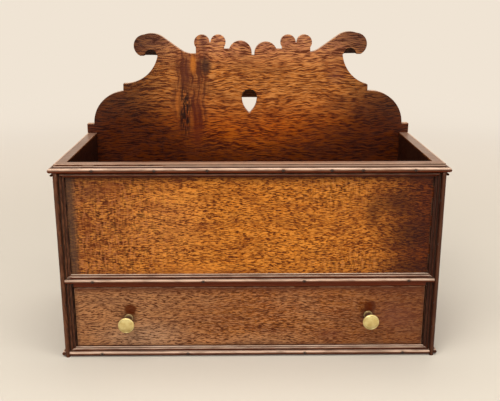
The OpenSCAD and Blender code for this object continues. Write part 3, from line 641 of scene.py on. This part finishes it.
def wear(bm, low, high, wander, sprigs):
    """Moves every point in by a hand-planed amount in millimetres, further where a sprig was
    punched in, and never out of the box between two corners."""
    for vert in bm.verts:
        slow = noise.noise(vert.co * SLOW_WEAR + WEAR_START)
        fast = noise.noise(vert.co * FAST_WEAR)
        move = -wander * MM * (0.5 + 0.5 * slow + 0.3 * fast)
        for sprig in sprigs:
            away = (vert.co - sprig).length / DENT_RADIUS
            if away < 1.0:
                move -= DENT_DEPTH * (1.0 - away) ** 2
        vert.co += vert.normal * move
        vert.co = Vector(min(max(vert.co[i], low[i]), high[i]) for i in range(3))


def dress(node, material, body, bevel=0.4, wander=0.12, step=8.0, sprigs=(), full=REACH):
    """A worn copy of a CAD node that stands for it: arrises rounded by bevel, and surfaces that
    wander by a hand-planed amount, both in millimetres, with dents where sprigs were punched."""
    low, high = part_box(node)
    bm = bmesh.new()
    bm.from_mesh(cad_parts[node].data)
    bmesh.ops.remove_doubles(bm, verts=bm.verts, dist=WELD)
    bmesh.ops.dissolve_limit(bm, angle_limit=FLAT, verts=bm.verts, edges=bm.edges,
                             use_dissolve_boundaries=False)
    arris = bm.faces.layers.float.new("arris")
    reach = bm.faces.layers.float.new("reach")
    stain = bm.faces.layers.float.new("stain")
    sharp = [edge for edge in bm.edges if edge.is_manifold and edge.is_convex
             and edge.calc_face_angle() > SHARP
             and edge.calc_length() > SHORTEST * bevel * MM]
    rounded = bmesh.ops.bevel(bm, geom=sharp, offset=bevel * MM, segments=2, profile=0.6,
                              affect="EDGES", clamp_overlap=False)
    for face in rounded["faces"]:
        face[arris] = 1.0
    size = high - low
    axis = max(range(3), key=lambda i: size[i])
    count = int(size[axis] / (step * MM))
    places = [low[axis] + size[axis] * i / count for i in range(1, count)]
    for sprig in sprigs:
        places += [sprig[axis] + shift * MM for shift in DENT_CUTS]
    slice_along(bm, axis, places)
    bm.normal_update()
    wear(bm, low, high, wander, sprigs)
    for face in bm.faces:
        middle = face.calc_center_median()
        face[reach] = reach_of(middle, full)
        near = min([(middle - sprig).length / STAIN_RADIUS for sprig in sprigs], default=9.0)
        face[stain] = max(0.0, 1.0 - near ** 2)
    finish_piece(bm, node + "_worn", material, body, [node])


def finish_piece(bm, name, material, body, nodes):
    """Turns a mesh into a smooth-shaded piece that rides on a body and stands for CAD nodes."""
    mesh = bpy.data.meshes.new(name)
    bm.to_mesh(mesh)
    bm.free()
    mesh.polygons.foreach_set("use_smooth", [True] * len(mesh.polygons))
    mesh.set_sharp_from_angle(angle=CREASE)
    mesh.materials.append(material)
    piece = bpy.data.objects.new(name, mesh)
    bpy.context.scene.collection.objects.link(piece)
    normals = piece.modifiers.new("Face-weighted normals", "WEIGHTED_NORMAL")
    normals.keep_sharp = True
    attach(piece, body)
    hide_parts(*nodes)


def lathe(profile, centre, steps=72):
    """A mesh turned about an axis along Y: profile is (y, radius) from the front to the back."""
    bm = bmesh.new()
    rings = []
    for y, radius in profile:
        ring = []
        for i in range(steps):
            turn = 2 * math.pi * i / steps
            ring.append(bm.verts.new((centre.x + radius * math.cos(turn), y,
                                      centre.z + radius * math.sin(turn))))
        rings.append(ring)
    for front, back in zip(rings, rings[1:]):
        for i in range(steps):
            j = (i + 1) % steps
            bm.faces.new((front[i], front[j], back[j], back[i]))
    bm.faces.new(rings[0])
    bm.faces.new(reversed(rings[-1]))
    bmesh.ops.recalc_face_normals(bm, faces=bm.faces)
    return bm


def arc(centre_y, centre_r, radius, start, end, steps):
    """Points (y, radius) round an arc; the angle is 0 towards +radius and 90 towards -y."""
    points = []
    for i in range(steps + 1):
        turn = math.radians(start + (end - start) * i / steps)
        points.append((centre_y - radius * math.sin(turn), centre_r + radius * math.cos(turn)))
    return points


def knob_profile(front, rim_r, shank_end):
    """Half a knob's outline as (y, radius), from the middle of its face at front to the end of
    its shank: a slightly domed face with a fine ring, a round rim, a hollow neck and a seat."""
    dome, dome_bow, dome_steps = 0.9 * MM, 2.2, 9
    ring_in, ring_h = 1.9 * MM, 0.25 * MM
    rim_t = 3.6 * MM
    neck_front_r, waist_r, neck_back_r, neck_steps = 5.4 * MM, 3.3 * MM, 4.2 * MM, 14
    seat_r, seat_t = 4.7 * MM, 1.4 * MM
    shank_r = 2.15 * MM
    thread_l, thread_turn, thread_steps = 4.6 * MM, 0.5 * MM, 9

    profile = [(front + 0.02 * MM, 0.3 * MM)]
    for i in range(1, dome_steps):
        share = i / dome_steps
        profile.append((front + dome * share ** dome_bow, (rim_r - 2.0 * MM) * share))
    ring_r = rim_r - ring_in
    profile += [(front + dome, ring_r), (front + dome + ring_h, ring_r + ring_h),
                (front + dome, ring_r + 2 * ring_h)]
    round_r = (rim_t - dome) / 2
    profile += arc(front + dome + round_r, rim_r - round_r, round_r, 80, -90, 12)
    neck_front, neck_back = front + rim_t, FRONT_Y - seat_t
    for i in range(neck_steps + 1):
        share = i / neck_steps
        hollow = math.cos(math.pi * (share - 0.5)) ** 0.6
        wide = neck_front_r * (1 - share) + neck_back_r * share
        profile.append((neck_front + (neck_back - neck_front) * share,
                        wide - (wide - waist_r) * hollow))
    profile += arc(FRONT_Y - seat_t / 2, seat_r - seat_t / 2, seat_t / 2, 90, -90, 8)
    profile += [(FRONT_Y, shank_r), (shank_end - thread_l - 0.4 * MM, shank_r)]
    for i in range(thread_steps):
        thread = 0.12 * MM if i % 2 else -0.18 * MM
        profile.append((shank_end - thread_l + thread_turn * i, shank_r + thread))
    profile.append((shank_end, shank_r - 0.5 * MM))
    return profile


def knob(side, material):
    """A turned brass knob with its shank behind."""
    name = "knob_" + side
    low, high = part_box(name)
    bm = lathe(knob_profile(low.y, (high.x - low.x) / 2, high.y), (low + high) / 2)
    reach = bm.faces.layers.float.new("reach")
    for face in bm.faces:
        face[reach] = reach_of(face.calc_center_median(), FRONT_Y - low.y)
    finish_piece(bm, name + "_turned", material, "drawer", [name])


# ---------------------------------------------------------------- the pieces


def dress_carcase():
    """The boards, the tray floor and the base board of the carcase."""
    dress("front_board", front_panel_oak(), "carcase", bevel=0.35)
    dress("backboard", backboard_oak(), "carcase", bevel=0.9, wander=0.2)
    for side, shift in (("left", 300.0), ("right", 520.0)):
        board = carcase_oak("side_" + side + "_oak", "y", shift)
        dress("side_" + side, board, "carcase", bevel=0.35)
    floor = carcase_oak("tray_floor_oak", "x", 700.0)
    dress("tray_floor", floor, "carcase", bevel=0.4)
    dress("base_board", floor, "carcase", bevel=0.5)


def dress_mouldings():
    """The mouldings: rails across the front, returns along the sides, posts up the corners."""
    rails = moulding_oak("moulding_oak_x", "x", 60.0)
    returns = moulding_oak("moulding_oak_y", "y", 90.0)
    posts = moulding_oak("moulding_oak_z", "z", 20.0)
    top = sprig_heads("top_sprigs", TOP_REACH)
    middle = sprig_heads("mid_sprigs", REACH)
    base = sprig_heads("base_sprigs", REACH)
    corner = sprig_heads("corner_sprigs", REACH)
    # Node, oak, bevel, wander, sprigs, and how far the moulding stands out
    for node, oak, bevel, wander, sprigs, full in (
            ("top_moulding_front", rails, 0.25, 0.15, top, TOP_REACH),
            ("mid_moulding", rails, 0.2, 0.12, middle, REACH),
            ("base_moulding_front", rails, 0.25, 0.15, base, REACH),
            ("top_moulding_left", returns, 0.25, 0.15, top, TOP_REACH),
            ("base_moulding_left", returns, 0.25, 0.15, base, REACH),
            ("corner_moulding_left", posts, 0.2, 0.12, corner, REACH),
            ("top_moulding_right", returns, 0.25, 0.15, top, TOP_REACH),
            ("base_moulding_right", returns, 0.25, 0.15, base, REACH),
            ("corner_moulding_right", posts, 0.2, 0.12, corner, REACH)):
        dress(node, oak, "carcase", bevel, wander, 4.0, sprigs, full)


def dress_drawer():
    """The drawer's front, sides, back and bottom, and its two knobs."""
    dress("drawer_front", drawer_front_oak(), "drawer", bevel=0.8, wander=0.15)
    for side, shift in (("left", 60.0), ("right", 210.0)):
        board = inner_oak("drawer_side_" + side + "_oak", "y", shift)
        dress("drawer_side_" + side, board, "drawer", bevel=0.3)
    board = inner_oak("drawer_board_oak", "x", 400.0)
    dress("drawer_back", board, "drawer", bevel=0.3)
    dress("drawer_bottom", board, "drawer", bevel=0.3)
    metal = brass()
    knob("left", metal)
    knob("right", metal)


def finish_iron():
    """The CAD's own nails, sprigs and nuts get their iron."""
    dark = iron()
    for node in ("back_nails", "side_nails", "top_sprigs", "corner_sprigs", "mid_sprigs",
                 "base_sprigs", "drawer_sprigs", "knob_nut_left", "knob_nut_right"):
        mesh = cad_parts[node].data
        mesh.materials.clear()
        mesh.materials.append(dark)


# ---------------------------------------------------------------- studio

WALL_TONE = srgb(240, 228, 212)
WORLD_TONE, WORLD_STRENGTH = srgb(255, 250, 243), 0.8
LAMP_TONE = srgb(255, 248, 238)[:3]
LAMPS_AIM_AT = (0.0, 0.0, 0.16)
LAMPS = (  # name, place, width and height in metres, watts
    ("key_lamp", (-0.5, -1.3, 1.7), (1.4, 1.0), 29.0),
    ("fill_lamp", (1.5, -1.2, 0.9), (1.0, 1.2), 8.5),
    ("top_lamp", (0.1, 0.5, 1.9), (1.2, 0.8), 14.0),
    ("strip_lamp", (0.0, -0.35, 1.3), (1.6, 0.14), 6.0),
)

# The floor and the backdrop that it curves up into, in metres
BACKDROP_WIDTH = 16.0
FLOOR_FRONT, FLOOR_BACK = -8.0, 1.3
BEND_RADIUS, BEND_STEPS = 0.7, 16
BACKDROP_TOP = 4.0


def seen_directly(shader):
    """1 for rays from the camera, and for those that polish, metal or glass sends on."""
    path = shader.node("LightPath").outputs
    return shader.math("ADD", shader.plus(path["Is Camera Ray"], path["Is Glossy Ray"]),
                       path["Is Transmission Ray"], clamp=True)


def backdrop_pale():
    """Pale to the camera, and turning into the wall's even tone away from the box; to the light
    that bounces up onto the box it is no brighter than an old table top."""
    shader = Shader("backdrop_pale")
    seen = seen_directly(shader)
    x, y, _ = shader.place()
    away = shader.length(x, y)
    pale = shader.mix(shader.remap(away, 300.0, 1300.0), srgb(188, 183, 174), srgb(216, 209, 199))
    floor = shader.surface(shader.mix(seen, srgb(128, 104, 84), pale), 0.8, specular=0.1)
    wall = shader.node("Emission")
    wall.inputs["Color"].default_value = WALL_TONE
    share = shader.times(seen, shader.remap(away, 600.0, 1700.0))
    return shader.end(shader.mix_shaders(share, floor, wall.outputs[0]))


def floor_and_wall():
    """A pale floor that curves up into a pale wall."""
    outline = [(FLOOR_FRONT, 0.0), (FLOOR_BACK, 0.0)]
    for i in range(1, BEND_STEPS + 1):
        turn = math.pi / 2 * i / BEND_STEPS
        outline.append((FLOOR_BACK + BEND_RADIUS * math.sin(turn),
                        BEND_RADIUS - BEND_RADIUS * math.cos(turn)))
    outline.append((FLOOR_BACK + BEND_RADIUS, BACKDROP_TOP))
    bm = bmesh.new()
    rows = [[bm.verts.new((x, y, z)) for x in (-BACKDROP_WIDTH / 2, BACKDROP_WIDTH / 2)]
            for y, z in outline]
    for near, far in zip(rows, rows[1:]):
        bm.faces.new((near[0], near[1], far[1], far[0])).smooth = True
    mesh = bpy.data.meshes.new("backdrop")
    bm.to_mesh(mesh)
    bm.free()
    mesh.materials.append(backdrop_pale())
    backdrop = bpy.data.objects.new("backdrop", mesh)
    bpy.context.scene.collection.objects.link(backdrop)


def soft_world():
    """A world that lights the box softly, and looks like the wall where it is seen."""
    world = bpy.data.worlds.new("studio")
    world.use_nodes = True
    shader = Shader.of_world(world)
    light = shader.node("Background")
    light.inputs["Color"].default_value = WORLD_TONE
    light.inputs["Strength"].default_value = WORLD_STRENGTH
    wall = shader.node("Background")
    wall.inputs["Color"].default_value = WALL_TONE
    shader.plug(shader.tree.nodes["World Output"].inputs["Surface"],
                shader.mix_shaders(seen_directly(shader), light.outputs[0], wall.outputs[0]))
    bpy.context.scene.world = world


def lamp(name, at, size, watts):
    """A soft lamp of this width and height that shines on the box."""
    data = bpy.data.lights.new(name, "AREA")
    data.shape = "RECTANGLE"
    data.size, data.size_y = size
    data.energy = watts
    data.color = LAMP_TONE
    light = bpy.data.objects.new(name, data)
    light.location = at
    light.rotation_mode = "QUATERNION"
    light.rotation_quaternion = (Vector(LAMPS_AIM_AT) - Vector(at)).to_track_quat("-Z", "Y")
    bpy.context.scene.collection.objects.link(light)


def camera():
    """The photograph's own view."""
    data = bpy.data.cameras.new("camera")
    data.lens = CAMERA_LENS
    data.sensor_width = CAMERA_SENSOR
    data.clip_start = 0.01
    shot = bpy.data.objects.new("camera", data)
    shot.location = CAMERA_AT
    shot.rotation_euler = (math.radians(90 - CAMERA_PITCH), 0.0, -math.radians(CAMERA_YAW))
    bpy.context.scene.collection.objects.link(shot)
    bpy.context.scene.camera = shot


camera()
floor_and_wall()
soft_world()
for settings in LAMPS:
    lamp(*settings)
dress_carcase()
dress_mouldings()
dress_drawer()
finish_iron()
bpy.context.scene.view_settings.view_transform = "Standard"
